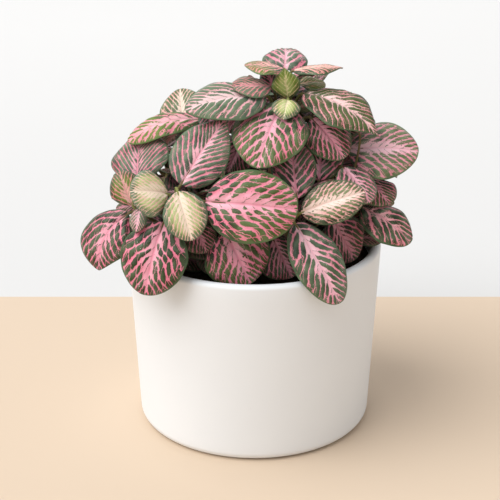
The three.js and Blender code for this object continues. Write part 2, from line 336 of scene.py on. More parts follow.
def net_colour(look, f):
    """The veins: whiter along the midrib, and redder where they are thin."""
    hot = look.mix(f.cloud.step(0.3, 0.7), *HOT_PINK)
    salmon = look.mix(f.cloud.step(0.3, 0.7), *SALMON)
    colour = look.mix(f.warm, hot, salmon)
    colour = look.mix(f.inside.step(-0.9, -0.05) * 0.35, colour, THIN_VEIN)
    white = look.mix(f.warm, PINK_WHITE, CREAM)
    core = f.share.step(0.5, 0.02) * (1.0 - f.along * 0.5)
    colour = look.mix((core * (0.42 + f.pale * 0.75) + f.pale * 0.42).least(0.96), colour, white)
    colour = look.mix(f.rib * 0.5 * (1.0 - f.pale), colour, MIDRIB)
    return look.mix((f.lime * f.olive * 1.1).least(1.0), colour, LIME_VEIN)


def island_colour(look, f):
    """The islands: from near black through blue-green to olive and lime."""
    deep = look.mix(f.cloud.step(0.25, 0.75), *DEEP_GREEN)
    # painted sheen: a pale blue-green that stands in for soft reflections on the greens
    sheen_green = look.mix(f.cloud.step(0.25, 0.75), *PAINTED_SHEEN_GREEN)
    green = look.mix((f.light + (f.cloud - 0.5) * 1.6).most(0.0).least(1.0), deep, sheen_green)
    green = look.mix(f.inside.step(0.25, 1.3) * 0.25, green, ISLAND_MIDDLE)
    green = look.mix(f.olive * (f.cloud + f.along * 0.7).step(0.45, 1.0), green, OLIVE)
    fresh = look.mix(f.edge.step(1.0, 6.0) * f.pale, *FRESH)
    green = look.mix((f.lime * f.edge.step(0.8, 4.5) * 1.3).least(1.0), green, fresh)
    green = look.mix(f.edge.step(1.5, 0.2) * 0.4, green, MARGIN)
    return look.mix(f.grain.step(0.45, 0.85) * 0.18, green, GRAIN)


def leaf_look():
    """Green islands in a pink net, an underside and a stalk, in one material for every leaf."""
    look = Look("leaf_skin")
    f = leaf_numbers(look)
    f.inside = islands(look, f)
    green_share = f.inside.step(-0.2, 0.08)
    skin = look.mix(green_share, net_colour(look, f), island_colour(look, f))
    skin = look.mix(f.under, skin, look.mix(green_share, BACK_VEIN, BACK_GREEN))
    stem = look.mix(f.ragged.step(0.3, 0.7), *STALK)
    stem = look.mix((f.pale * 0.6 + f.lime).least(1.0) * 0.8, stem, PALE_STALK)
    skin = look.mix(f.stalk, skin, stem)
    glint = look.cells(f.at, 0.5).step(0.10, 0.05) * f.cloud.step(0.46, 0.56)
    skin = look.mix(glint * (1.0 - f.under) * (1.0 - f.stalk) * 0.8, skin, GLINT)
    # painted shade: inner leaves are darkened towards a brown-black, standing in for the shade inside
    # the bush
    skin = look.mix(f.dim, skin, SHADE)
    look.set(Base_Color=skin)
    look.set(Roughness=0.38 + (f.grain - 0.5) * 0.3 + f.under * 0.2 + f.dim * 0.3)
    look.set(Specular_IOR_Level=0.30)
    relief = f.inside.least(0.5).most(-0.4) * (1.0 - f.under * 2.0) - f.rib * 0.4
    look.bump(relief * 0.8 + (f.ragged - 0.5) * 0.5 + (f.grain - 0.5) * 0.3, 0.35 * MM, 0.75)
    return look.material


def ceramic_look():
    look = Look("white_ceramic")
    at = look.place()
    cloud = look.noise(at, 14.0, 3.0)
    grain = look.noise(at, 900.0, 3.0, 0.6)
    body = look.mix(cloud.step(0.3, 0.7), (0.85, 0.88, 0.91), (0.87, 0.90, 0.925))
    speck = 1.0 - look.cells(at, 160.0).step(0.03, 0.06)
    body = look.mix(speck * 0.10, body, (0.55, 0.52, 0.48))
    look.set(Base_Color=body, Specular_IOR_Level=0.4)
    look.set(Roughness=0.50 + (cloud - 0.5) * 0.12 + (grain - 0.5) * 0.1)
    look.bump(grain * 0.3 + look.noise(at, 60.0, 2.0), 0.10 * MM, 0.5)
    return look.material


def soil_look():
    look = Look("dark_peat")
    at = look.place()
    lumps = look.noise(at, 260.0, 5.0, 0.65)
    bits = look.cells(at, 320.0)
    colour = look.mix(lumps.step(0.3, 0.72), (0.010, 0.007, 0.005), (0.062, 0.040, 0.026))
    colour = look.mix(lumps.step(0.66, 0.74) * 0.6, colour, (0.16, 0.11, 0.07))
    look.set(Base_Color=colour, Roughness=0.85 + (lumps - 0.5) * 0.2, Specular_IOR_Level=0.25)
    look.bump(lumps + bits * 0.6, 0.9 * MM, 1.0)
    return look.material


def stem_look():
    look = Look("stem_skin")
    at = look.place()
    cloud = look.noise(at, 70.0, 3.0)
    grain = look.noise(at, 900.0, 3.0, 0.6)
    colour = look.mix(cloud.step(0.35, 0.65), (0.27, 0.25, 0.09), (0.42, 0.22, 0.13))
    colour = look.mix(grain.step(0.5, 0.8) * 0.35, colour, (0.60, 0.52, 0.36))
    look.set(Base_Color=colour, Roughness=0.52 + (grain - 0.5) * 0.2)
    look.set(Sheen_Weight=0.25, Sheen_Roughness=0.5)
    look.bump(grain + cloud * 0.5, 0.25 * MM, 0.7)
    return look.material


def ground_look(name, colour, other):
    look = Look(name)
    cloud = look.noise(look.place(), 2.0, 2.0)
    look.set(Base_Color=look.mix(cloud, colour, other), Roughness=0.65, Specular_IOR_Level=0.3)
    return look.material


# ---- meshes ----


class Sheets:
    """Vertices, faces, UVs and per-vertex numbers that build up to one mesh."""

    def __init__(self):
        self.points = []
        self.faces = []
        self.corners = []
        self.numbers = {}
        self.count = 0

    def vertices(self, points, **numbers):
        """Adds an array of points, and returns their indices in the same shape."""
        shape = points.shape[:-1]
        size = int(np.prod(shape))
        self.points.append(points.reshape(-1, 3))
        for name, values in numbers.items():
            wide = np.broadcast_to(values, (*shape, 3)).reshape(-1, 3)
            self.numbers.setdefault(name, []).append(wide)
        index = np.arange(self.count, self.count + size).reshape(shape)
        self.count += size
        return index

    def quads(self, index, uv):
        """Faces over a grid of indices; uv has the same shape and two numbers a corner."""
        for part, out in ((index, self.faces), (uv, self.corners)):
            four = [part[:-1, :-1], part[1:, :-1], part[1:, 1:], part[:-1, 1:]]
            stacked = np.stack(four, axis=2)
            out.extend(stacked.reshape(-1, 4, *stacked.shape[3:]).tolist())

    def fan(self, row, hub, uv, hub_uv):
        for a, b, ua, ub in zip(row[:-1], row[1:], uv[:-1], uv[1:]):
            self.faces.append([int(a), int(b), int(hub)])
            self.corners.append([list(ua), list(ub), list(hub_uv)])

    def build(self, name, material):
        mesh = bpy.data.meshes.new(name)
        mesh.from_pydata(np.concatenate(self.points).tolist(), [], self.faces)
        layer = mesh.uv_layers.new(name="OFBake")
        flat = np.array([c for face in self.corners for c in face], np.float32)
        layer.uv.foreach_set("vector", flat.ravel())
        for key, parts in self.numbers.items():
            attribute = mesh.attributes.new(key, "FLOAT_VECTOR", "POINT")
            attribute.data.foreach_set("vector", np.concatenate(parts).astype(np.float32).ravel())
        mesh.materials.append(material)
        mesh.shade_smooth()
        piece = bpy.data.objects.new(name, mesh)
        bpy.context.scene.collection.objects.link(piece)
        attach(piece, BODY)
        return piece


# ---- reading the frame ----


def welded(node):
    """A CAD node's corners, and each corner's neighbours, with shared corners counted once."""
    mesh = bmesh.new()
    mesh.from_mesh(node.data)
    bmesh.ops.remove_doubles(mesh, verts=mesh.verts, dist=WELD)
    mesh.verts.index_update()
    points = np.array([v.co[:] for v in mesh.verts])
    near = [{e.other_vert(v).index for e in v.link_edges} for v in mesh.verts]
    mesh.free()
    return points, near


def rings_from_tip(near):
    """The leaf's tip, and the rings of its loft from the tip to the root, as indices."""
    tip = next(
        i for i, n in enumerate(near) if len(n) == RING and all(len(near[j]) == RING - 1 for j in n)
    )
    seen = {tip}
    level = [tip]
    rings = []
    while True:
        level = sorted({j for i in level for j in near[i]} - seen)
        if not level:
            return tip, rings
        rings.append(level)
        seen.update(level)


def blade_columns(points, near, ring):
    """A blade ring's midrib corner, its underside corner and its two margins."""
    members = set(ring)
    loop = [ring[0]]
    while len(loop) < RING:
        loop.append(next(j for j in sorted(near[loop[-1]] & members) if j not in loop))
    gaps = [np.linalg.norm(points[loop[k]] - points[loop[k + 3]]) for k in range(3)]
    k = int(np.argmin(gaps))

    def breadth(i):
        return np.linalg.norm(points[loop[i - 1]] - points[loop[(i + 1) % RING]])

    top, below = (k, k + 3) if breadth(k) < breadth(k + 3) else (k + 3, k)
    margins = [loop[below - 1], loop[(below + 1) % RING]]
    return points[loop[top]], points[loop[below]], points[margins]


def ring_centre(points, ring):
    """The middle of a petiole ring, whose longest chord is a diameter."""
    corners = points[ring]
    gaps = np.linalg.norm(corners[:, None] - corners[None], axis=2)
    a, b = np.unravel_index(np.argmax(gaps), gaps.shape)
    return (corners[a] + corners[b]) / 2


def sharpness(point, t):
    return BASE_SHARPNESS + (point - BASE_SHARPNESS) * t


def outline(t, point):
    """The half width at t, as a share of the largest."""
    return np.sin(math.pi * np.clip(t, 0, 1) ** WIDEST) ** sharpness(point, t)


def read_leaf(node):
    """A CAD leaf as the numbers that its detailed leaf is grown from."""
    points, near = welded(node)
    tip, rings = rings_from_tip(near)
    blade = [blade_columns(points, near, r) for r in rings[: len(BLADE_STATIONS)]][::-1]
    centres = [ring_centre(points, r) for r in rings[len(BLADE_STATIONS) :]][::-1]
    t = np.array([*BLADE_STATIONS, 1.0])
    basis = np.stack([(1 - t) ** 2, 2 * t * (1 - t), t**2], axis=1)
    ribs = np.array([*[b[0] for b in blade], points[tip]])
    midrib = np.linalg.lstsq(basis, ribs, rcond=None)[0]
    face = unit(sum(unit(b[0] - b[1]) for b in blade))
    halves = [np.linalg.norm(b[2][0] - b[2][1]) / 2 for b in blade]
    widest = halves[3] / outline(BLADE_STATIONS[3], 0.55)
    last = BLADE_STATIONS[-1]
    power = math.log(halves[-1] / widest) / math.log(math.sin(math.pi * last**WIDEST))
    point = BASE_SHARPNESS + (power - BASE_SHARPNESS) / last
    return {"midrib": midrib, "face": face, "half": widest, "point": point, "stalk": centres}


def read_stem(node):
    """The middles of a CAD stem's rings, from its foot up."""
    points, _ = welded(node)
    order = np.argsort(points[:, 2])
    return points[order].reshape(-1, STEM_RING, 3).mean(axis=1)


# ---- leaves ----


def bezier(control, t):
    t = np.asarray(t, float)[..., None]
    a, b, c = control
    place = (1 - t) ** 2 * a + 2 * t * (1 - t) * b + t**2 * c
    heading = 2 * (1 - t) * (b - a) + 2 * t * (c - b)
    return place, unit(heading)


class Leaf:
    """One leaf's shape. u runs across it from -1 to 1, and t along it from 0 at the neck to 1."""

    def __init__(self, plan, look, seed):
        self.plan = plan
        self.look = look
        self.own = (seed * 7.31) % 97  # tells this leaf's noise from the others'
        rng = np.random.default_rng(seed)
        neck, bow, tip = plan["midrib"]
        self.midrib = neck, neck + (bow - neck) * look["long"], neck + (tip - neck) * look["long"]
        path, _ = bezier(self.midrib, np.linspace(0, 1, 25))
        self.length = float(np.linalg.norm(np.diff(path, axis=0), axis=1).sum())
        self.count = round((VEINS + self.length / VEIN_SPACING) * look["veins"])
        self.bend = Ripple(rng, 16 * MM)
        self.lumps = Ripple(rng, 9 * MM)
        self.rim = rng.uniform(0, 2 * math.pi, 4)
        self.shift = rng.uniform(0.25, 0.75, 2)
        self.lopsided = rng.uniform(-0.035, 0.035)

    def frame(self, t):
        place, heading = bezier(self.midrib, t)
        side = unit(np.cross(heading, self.plan["face"]))
        return place, heading, side, unit(np.cross(side, heading))

    def half(self, u, t):
        wave = 0.008 * np.sin(7 * t + self.rim[0] + 2 * np.sign(u))
        wave = wave + 0.004 * np.sin(23 * t + self.rim[1] * np.sign(u))
        t = np.clip(t, 0, 1) ** self.look["broad"]
        power = self.look["blunt"] + (self.plan["point"] * self.look["sharp"] - self.look["blunt"]) * t
        return self.plan["half"] * self.look["wide"] * np.sin(math.pi * t) ** power * (
            1 + wave + self.lopsided * np.sign(u)
        )

    def veins(self, x, t):
        """The side veins' phase, which is whole on a vein, and the metres that one unit of it takes."""
        out = np.abs(x) / self.length
        spread = 1 + VEIN_FAN * out
        start = (t - VEIN_RISE * out - VEIN_BEND * out**2) / spread
        slope = VEIN_RISE + VEIN_FAN * start + 2 * VEIN_BEND * out
        pitch = self.length / self.count * spread / np.sqrt(1 + slope**2)
        shift = np.where(x < 0, self.shift[0], self.shift[1])
        phase = self.count * start + shift + 0.17 * self.bend(x, t * self.length)
        return phase, pitch

    def lift(self, u, t, x, half):
        """How far the upper side stands above the flat blade."""
        phase, pitch = self.veins(x, t)
        away = (0.5 - np.abs(phase % 1 - 0.5)) * pitch
        size = min(1.0, self.plan["half"] / (13 * MM))
        pillow = 0.55 * MM * size * (1 - np.exp(-((away / (1.0 * MM)) ** 2)))
        pillow = pillow * smooth(np.abs(u), 0.02, 0.25) * (1 - smooth(np.abs(u), 0.72, 1.0))
        fold = FOLD * np.abs(x) * (1 - 0.55 * np.abs(u)) * (1 - 0.5 * t)
        crease = -0.5 * MM * size * np.exp(-((x / (0.85 * MM)) ** 2)) * (1 - 0.7 * t)
        hang = -DROP * half * np.abs(u) ** 2.2
        roll = -0.07 * half * smooth(np.abs(u), 0.75, 1.0)
        wave = 0.03 * self.plan["half"] * np.abs(u) ** 3
        wave = wave * np.sin(11 * t + self.rim[2] + 1.5 * np.sign(u))
        lumps = 0.16 * MM * size * self.lumps(x, t * self.length)
        return pillow + fold + crease + hang + roll + wave + lumps * (1 - t**4)

    def surface(self, u, t):
        """Places on the upper side, the way up there, the half width and the metres across."""
        half = self.half(u, t)
        x = u * half
        place, _, side, normal = self.frame(t)
        top = place + side * x[..., None] + normal * self.lift(u, t, x, half)[..., None]
        return top, normal, half, x

    def points(self, across, along):
        """A plain grid of points over the upper side, as rows of three numbers."""
        u, t = np.meshgrid(np.linspace(-1, 1, across), np.linspace(0.01, 0.995, along))
        return self.surface(u, t)[0].reshape(-1, 3)


def tube(path, radii, up, around):
    """Rings of points round a path, for a stalk or a stem."""
    heading = unit(np.gradient(path, axis=0))
    side = unit(np.cross(heading, up))
    over = np.cross(side, heading)
    angle = np.linspace(0, 2 * math.pi, around, endpoint=False)
    ring = np.cos(angle)[:, None] * side[:, None] + np.sin(angle)[:, None] * over[:, None]
    return path[:, None] + ring * radii[:, None, None]


def ringed(index):
    """A grid of indices whose first column comes again at its end."""
    return np.concatenate([index, index[:, :1]], axis=1)


def grid_uv(columns, rows):
    return np.stack(np.meshgrid(columns, rows), -1)


def skin_tube(sheets, rings, path, uv, numbers, end_numbers):
    """Adds a tube to sheets, and rounds off both its ends."""
    index = ringed(sheets.vertices(rings, **numbers))
    sheets.quads(index, uv)
    for row, centre, spot in ((index[0][::-1], path[0], uv[0][::-1]), (index[-1], path[-1], uv[-1])):
        hub = sheets.vertices(centre[None], **end_numbers)[0]
        sheets.fan(row, hub, spot, spot.mean(axis=0))


def stalk_path(leaf):
    """From inside the stem to the neck, and on below the midrib."""
    plan = leaf.plan
    neck, heading = bezier(leaf.midrib, 0.0)
    root, middle = plan["stalk"]
    reach = 0.3 * np.linalg.norm(neck - root)
    near = neck - heading * reach
    far = (8 * middle - root - neck - 3 * near) / 3
    s = np.linspace(0, 1, 11)[:, None]
    path = (1 - s) ** 3 * root + 3 * s * (1 - s) ** 2 * far + 3 * s**2 * (1 - s) * near + s**3 * neck
    inside = root - unit(far - root) * 1.2 * MM
    place, _, _, normal = leaf.frame(np.array([0.05, 0.12, 0.22]))
    below = place - normal * (np.array([0.7, 0.75, 0.6]) * MM)[:, None]
    return np.concatenate([inside[None], path[:-1], (neck - normal[0] * 0.5 * MM)[None], below])


def tiled(uv, tile):
    """UVs moved into one square of a board: its column, its row and the squares a side."""
    column, row, across = tile
    return (uv + np.array([column, row])) / across


def blade_grid(leaf, cell):
    """u and t where the mesh lines of a blade cross: closer together towards its ends and its midrib.
    """
    wide = int(np.clip(leaf.plan["half"] / cell, 8, 23)) * 2
    long = int(np.clip(leaf.length / cell, 18, 60))
    v = np.linspace(-1, 1, wide + 1)
    s = np.linspace(0, 1, long + 3)[1:-1]
    u = v * (0.78 + 0.22 * v**2)
    return np.meshgrid(u, 0.35 * s + 0.65 * (0.5 - 0.5 * np.cos(math.pi * s)))


LOOK_NUMBERS = {
    "leaf_pink": ("pink", "warm", "pale"),
    "leaf_green": ("light", "lime", "olive"),
    "leaf_net": ("islands", "halo", "dim"),
}


def look_numbers(look):
    """The numbers that are the same all over one leaf."""
    return {name: np.array([look[key] for key in keys]) for name, keys in LOOK_NUMBERS.items()}


def skin_numbers(leaf, x, t, half):
    """What leaf_numbers() reads back, apart from leaf_kind, at each corner of a blade."""
    phase, pitch = leaf.veins(x, t)
    edge = np.minimum(half - np.abs(x), (1 - t) * leaf.length * 0.9)
    return {
        "leaf_at": np.stack([x / MM, t * leaf.length / MM, np.full_like(x, leaf.own)], -1),
        "leaf_vein": np.stack([phase, pitch / MM, edge / MM], -1),
        **look_numbers(leaf.look),
    }


def join_margins(sheets, upper, lower, uv, tile):
    """Closes the blade along both its margins."""
    for column, shift in ((0, -0.012), (-1, 0.012)):
        index = np.stack([upper[:, column], lower[:, column]], 1)
        spots = np.stack([uv[:, column], uv[:, column] + [shift, 0]], 1)
        if column == 0:
            index, spots = index[:, ::-1], spots[:, ::-1]
        sheets.quads(index.T, tiled(spots, tile).transpose(1, 0, 2))


def join_ends(sheets, leaf, upper, lower, uv, numbers, tile):
    """Closes the blade with a fan at its neck and another at its tip."""
    middle = upper.shape[1] // 2
    for row, at, way in ((0, 0.0, -1), (-1, 1.0, 1)):
        place, _, _, up = leaf.frame(np.array([at]))
        own = {key: numbers[key][row, middle][None] for key in ("leaf_at", "leaf_vein")}
        own["leaf_kind"] = np.array([[0.0, 0.0, at]])
        hub = sheets.vertices(place - up * 0.12 * MM, **{**numbers, **own})[0]
        loop = np.concatenate([upper[row], lower[row][::-1], upper[row][:1]])
        spots = np.concatenate([uv[row], uv[row][::-1] + [0, 0.002 * way], uv[row][:1]])
        if row == 0:
            loop, spots = loop[::-1], spots[::-1]
        sheets.fan(loop, hub, tiled(spots, tile), tiled(uv[row, middle] + [0, 0.004 * way], tile))


def grow_stalk(sheets, leaf, tile):
    path = stalk_path(leaf)
    count = len(path)
    girth = min(1.0, 0.45 + leaf.plan["half"] / (22 * MM))
    radii = np.interp(np.arange(count), [0, 2, count - 5, count - 1], [1.15, 0.95, 0.8, 0.25])
    rings = tube(path, radii * girth * MM, leaf.plan["face"], STALK_RING)
    turn, down = np.meshgrid(np.arange(STALK_RING) * 1.0, np.arange(count) * 1.5)
    numbers = {
        "leaf_at": np.stack([np.full_like(turn, STALK_AT), down, turn], -1),
        "leaf_vein": np.array([0.5, 5.0, 5.0]),
        **look_numbers(leaf.look),
        "leaf_kind": np.array([0.0, 1.0, 0.0]),
    }
    uv = grid_uv(np.linspace(0.01, 0.08, STALK_RING + 1), np.linspace(0.02, 0.98, count))[..., ::-1]
    ends = {**numbers, "leaf_at": np.array([STALK_AT, 0.0, leaf.own])}
    skin_tube(sheets, rings, path, tiled(uv, tile), numbers, ends)


def grow(sheets, leaf, tile=(0, 0, 1), cell=CELL):
    """Adds a detailed leaf to sheets: both sides of the blade, its rim and its stalk."""
    u, t = blade_grid(leaf, cell)
    top, normal, half, x = leaf.surface(u, t)
    thick = (0.22 + 0.24 * (1 - u**2)) * MM
    ridge = 0.55 * MM * np.exp(-((x / (0.7 * MM)) ** 2)) * (1 - 0.75 * t)
    below = top - normal * (thick + ridge)[..., None]
    numbers = skin_numbers(leaf, x, t, half)
    flat = np.zeros_like(t)
    upper = sheets.vertices(top, **numbers, leaf_kind=np.stack([flat, flat, t], -1))
    lower = sheets.vertices(below, **numbers, leaf_kind=np.stack([flat + 1, flat, t], -1))
    share = np.linspace(0, 1, t.shape[1])[None] * np.ones_like(t)
    upper_uv = np.stack([0.02 + 0.44 * share, 0.11 + 0.87 * t], -1)
    lower_uv = np.stack([0.54 + 0.44 * share, 0.11 + 0.87 * t], -1)
    sheets.quads(upper.T, tiled(upper_uv, tile).transpose(1, 0, 2))
    sheets.quads(lower, tiled(lower_uv, tile))
    join_margins(sheets, upper, lower, upper_uv, tile)
    join_ends(sheets, leaf, upper, lower, upper_uv, numbers, tile)
    grow_stalk(sheets, leaf, tile)


DEFAULT_LOOK = {
    "pink": 0.5,  # how broad the pink veins are
    "warm": 0.1,  # from pink to salmon
    "pale": 0.1,  # how white the pink is
    "light": 0.2,  # from near black to a blue-green lightened by painted sheen
    "lime": 0.0,  # from green to a fresh lime
    "olive": 0.15,  # and to olive, in clouds
    "islands": 0.6,  # from long stripes of green to short islands
    "halo": 0.25,  # the share of the half width that is pink along the midrib
    "veins": 1.0,  # how many side veins there are, against most leaves
    "broad": 0.95,  # below 1 the leaf is broadest near its neck, above 1 near its tip
    "blunt": 0.52,  # the outline's power at the neck
    "sharp": 0.95,  # how pointed the tip is, against the CAD leaf
    "wide": 1.0,  # the width, against the CAD leaf
    "long": 1.0,  # the length, against the CAD leaf
    "dim": 0.0,  # how much painted shade darkens an inner leaf
}
LOOKS = {
    "crown_back": dict(
        pink=0.45, warm=0.15, pale=0.3, light=0.6, islands=0.5, halo=0.12, broad=0.7, blunt=0.36,
        sharp=0.8, veins=0.6,
    ),
    "crown_left": dict(pink=0.8, warm=0.7, light=0.2, olive=0.9, sharp=1.1, islands=0.3, wide=1.25),
    "crown_right": dict(
        pink=1.0, warm=0.8, pale=0.2, light=0.2, lime=0.2, sharp=1.1, islands=0.3, halo=0.6,
        wide=1.2,
    ),
    "bud_up": dict(
        pink=0.0, warm=0.7, pale=0.5, light=0.0, lime=0.55, olive=1.1, islands=0.0, halo=0.0,
        sharp=2.3, broad=0.75, blunt=0.42,
    ),
    "bud_down": dict(
        pink=0.05, warm=1.0, pale=1.0, light=0.6, lime=1.0, islands=0.0, halo=0.0, sharp=1.3,
        broad=0.75, blunt=0.36, long=1.15,
    ),
    "crown_low_left": dict(pink=0.5, warm=0.5, pale=0.05, light=0.9, halo=0.15),
    "crown_low_right": dict(
        pink=0.1, warm=0.9, pale=0.3, light=0.8, olive=0.9, halo=0.05, lime=0.25,
    ),
    "wing_left": dict(pink=0.22, warm=0.3, pale=1.0, light=1.0, olive=0.2, islands=0.0, halo=0.18),
    "wing_right": dict(
        pink=0.07, warm=0.4, pale=0.5, light=-0.3, olive=0.2, islands=0.0, halo=0.08, sharp=1.5,
        lime=0.1, veins=1.2,
    ),
    "upper_front": dict(
        pink=0.38, pale=0.2, light=0.4, olive=0.45, islands=0.85, halo=0.12, broad=0.85, sharp=1.2,
        veins=0.8,
    ),
    "upper_left": dict(pink=0.65, light=0.3, halo=0.35),
    "back_left_up": dict(pink=0.5, warm=0.7, pale=1.0, light=0.6, olive=0.4),
    "left_reach": dict(pink=0.85, warm=0.3, pale=0.3, light=0.5, olive=1.0, wide=0.85, veins=0.8),
    "left_mid": dict(pink=0.25, light=0.7, islands=0.1, halo=0.1, veins=1.3),
    "left_tall": dict(
        pink=0.42, pale=0.28, light=0.65, islands=0.2, halo=0.16, veins=1.25, wide=0.95, sharp=1.3,
        broad=0.8,
    ),
    "left_small": dict(pink=0.35, warm=0.5, pale=0.2, light=0.3, lime=0.5),
    "pale_left": dict(
        pink=0.55, warm=0.7, pale=1.2, light=1.2, lime=0.7, islands=0.7, halo=0.45, veins=1.15,
        wide=1.12,
    ),
    "pale_right": dict(
        pink=0.5, warm=0.7, pale=1.0, light=0.9, lime=0.6, islands=0.7, halo=0.4, veins=1.15,
    ),
    "left_bud": dict(pink=0.3, pale=0.5, light=0.7, lime=0.1, islands=0.1),
    "left_hanging": dict(pink=0.22, light=0.15, islands=0.85, halo=0.1, broad=1.1, veins=0.78),
    "front_left": dict(pink=0.36, light=0.12, islands=0.85, veins=0.8),
    "inner_left": dict(pink=0.45, light=0.1, dim=0.3),
    "front": dict(
        pink=0.55, pale=0.15, light=0.25, olive=0.45, islands=0.9, halo=0.26, veins=0.82,
        blunt=0.42, sharp=0.8,
    ),
    "front_low": dict(
        pink=0.75, light=0.15, olive=0.4, islands=0.85, halo=0.3, dim=0.05, veins=0.78,
    ),
    "front_inner": dict(pink=0.45, light=0.1, dim=0.4),
    "deep_left": dict(pink=0.45, light=0.05, dim=0.4),
    "mid_right": dict(pink=0.35, light=0.25, islands=0.3, halo=0.12),
    "mid_right_behind": dict(pink=0.35, light=0.2, islands=0.3, halo=0.12),
    "upper_right": dict(pink=0.5, light=0.15, olive=0.2),
    "right_reach": dict(
        pink=0.58, pale=0.6, light=0.85, olive=0.4, islands=0.8, halo=0.24, veins=0.85,
    ),
    "right_mid": dict(pink=0.6, pale=0.3, light=0.3),
    "pale_front": dict(
        pink=0.75, warm=0.55, pale=0.9, light=0.3, lime=0.2, islands=0.7, halo=0.4, veins=1.25,
    ),
    "right_low": dict(pink=0.3, light=0.1, olive=0.3, islands=0.4, halo=0.1),
    "right_hanging": dict(
        pink=0.18, warm=0.35, pale=0.15, light=0.15, islands=0.3, halo=0.05, veins=0.75,
    ),
    "right_inner": dict(pink=0.45, light=0.15, dim=0.4),
    "front_right": dict(pink=0.26, pale=0.5, light=0.5, islands=0.2, halo=0.12),
}


def cad_leaves(frame, material):
    """A detailed leaf in place of each CAD leaf."""
    names = sorted(n for n in frame["nodes"] if n.startswith("leaf_"))
    leaves = []
    for number, name in enumerate(names):
        rng = np.random.default_rng(500 + number)
        look = dict(DEFAULT_LOOK)
        look["pink"] = rng.uniform(0.35, 0.65)
        look["light"] = rng.uniform(0.15, 0.5)
        look.update(LOOKS.get(name.removeprefix("leaf_"), {}))
        leaf = Leaf(read_leaf(frame["nodes"][name]), look, 100 + number)
        sheets = Sheets()
        grow(sheets, leaf)
        piece = sheets.build(name + "_detailed", material)
        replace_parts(piece, name)
        leaves.append(leaf)
    return leaves


# ---- pot, soil and stems ----


def lathe(sheets, profile, segments):
    """Spins a closed profile of [radius, height] points, whose ends lie on the axis."""
    radius, height = np.array(profile[1:-1]).T
    angle = np.linspace(0, 2 * math.pi, segments, endpoint=False)
    x = radius[:, None] * np.cos(angle)
    y = radius[:, None] * np.sin(angle)
    z = np.broadcast_to(height[:, None], x.shape)
    index = ringed(sheets.vertices(np.stack([x, y, z], -1)))
    walked = np.concatenate([[0], np.hypot(np.diff(radius), np.diff(height)).cumsum()])
    uv = grid_uv(np.linspace(0.01, 0.99, segments + 1), 0.02 + 0.96 * walked / walked[-1])
    sheets.quads(index.T, uv.transpose(1, 0, 2))
    ends = ((index[0], uv[0], profile[0], -0.015), (index[-1][::-1], uv[-1][::-1], profile[-1], 0.015))
    for row, spot, end, shift in ends:
        hub = sheets.vertices(np.array([[0.0, 0.0, end[1]]]))[0]
        sheets.fan(row, hub, spot, spot.mean(axis=0) + [0, shift])


def rounded(centre, radius, start, end, steps):
    angle = np.radians(np.linspace(start, end, steps + 1))
    points = np.array(centre) + radius * np.stack([np.cos(angle), np.sin(angle)], 1)
    return points.tolist()


POT_SEGMENTS = 144
POT_WALL = 4.7 * MM
POT_FLOOR = 6.0 * MM
POT_FOOT = 4.7 * MM  # rounding of the foot
POT_LIP = 2.2 * MM
POT_INNER = 8.0 * MM
POT_BASE_RADIUS = 60.5 * MM
POT_RIM_RADIUS = 65.0 * MM


def wall_radius(height, top):
    return POT_BASE_RADIUS + (POT_RIM_RADIUS - POT_BASE_RADIUS) * height / top


def pot(material):
    """The glazed pot: a wall with a rounded lip and foot, and a floor inside."""
    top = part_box("pot")[1].z
    lip = top - POT_LIP
    outer = wall_radius(POT_FOOT, top) - POT_FOOT
    rim = wall_radius(lip, top)
    inner = wall_radius(POT_FLOOR, top) - POT_WALL - POT_INNER
    profile = [
        [0, 0],
        *[[r, 0] for r in np.linspace(0.2, 0.9, 5) * outer],
        *rounded([outer, POT_FOOT], POT_FOOT, -90, 0, 10),
        *[[wall_radius(z, top), z] for z in np.linspace(POT_FOOT, lip, 14)[1:-1]],
        *rounded([rim - POT_LIP, lip], POT_LIP, 0, 90, 8),
        *rounded([rim - POT_WALL + POT_LIP, lip], POT_LIP, 90, 180, 8),
        *rounded([inner, POT_FLOOR + POT_INNER], POT_INNER, 0, -90, 6),
        [0, POT_FLOOR],
    ]
    sheets = Sheets()
    lathe(sheets, profile, POT_SEGMENTS)
    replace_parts(sheets.build("pot_glazed", material), "pot")


RNG_SOIL = 11
SOIL_RINGS = 46
SOIL_SEGMENTS = 150
SOIL_MOUND = 3 * MM  # how far the middle stands above the edge
CRUMBS = ((26, 0.6), (9, 0.55), (4, 0.4), (2.2, 0.3))  # wavelength and height, mm


def soil(material):
    """The potting soil, with a crumbly surface."""
    low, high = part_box("soil")
    radius = high.x
    edge = high.z - SOIL_MOUND
    rings = np.linspace(1, 0, SOIL_RINGS)[:-1]
    surface = [[radius * s, edge + SOIL_MOUND * (1 - s**2)] for s in rings]
    foot = [[0, low.z], [radius * 0.8, low.z], [radius * 0.92, low.z + 6 * MM]]
    sheets = Sheets()
    lathe(sheets, [*foot, *surface, [0, high.z]], SOIL_SEGMENTS)
    points = np.concatenate(sheets.points)
    rng = np.random.default_rng(RNG_SOIL)
    waves = [Ripple(rng, wavelength * MM) for wavelength, _ in CRUMBS]
    x, y, z = points.T
    bumps = sum(height * wave(x, y) for (_, height), wave in zip(CRUMBS, waves)) * MM
    inside = smooth(radius - np.hypot(x, y), 0.0, 3 * MM) * (z > edge - 0.5 * MM)
    z += bumps * inside * 0.8
    sheets.points = [points]
    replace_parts(sheets.build("soil_surface", material), "soil")


STEM_STEPS = 61
STEM_AROUND = 14
JOINT_SPACING = 11 * MM


def stem_path(centres):
    """A stem's middle line, with even steps and its corners smoothed."""
    steps = np.linspace(0, len(centres) - 1, STEM_STEPS)
    path = np.stack([np.interp(steps, np.arange(len(centres)), c) for c in centres.T], 1)
    for _ in range(3):
        path[1:-1] = (path[:-2] + 2 * path[1:-1] + path[2:]) / 4
    return path


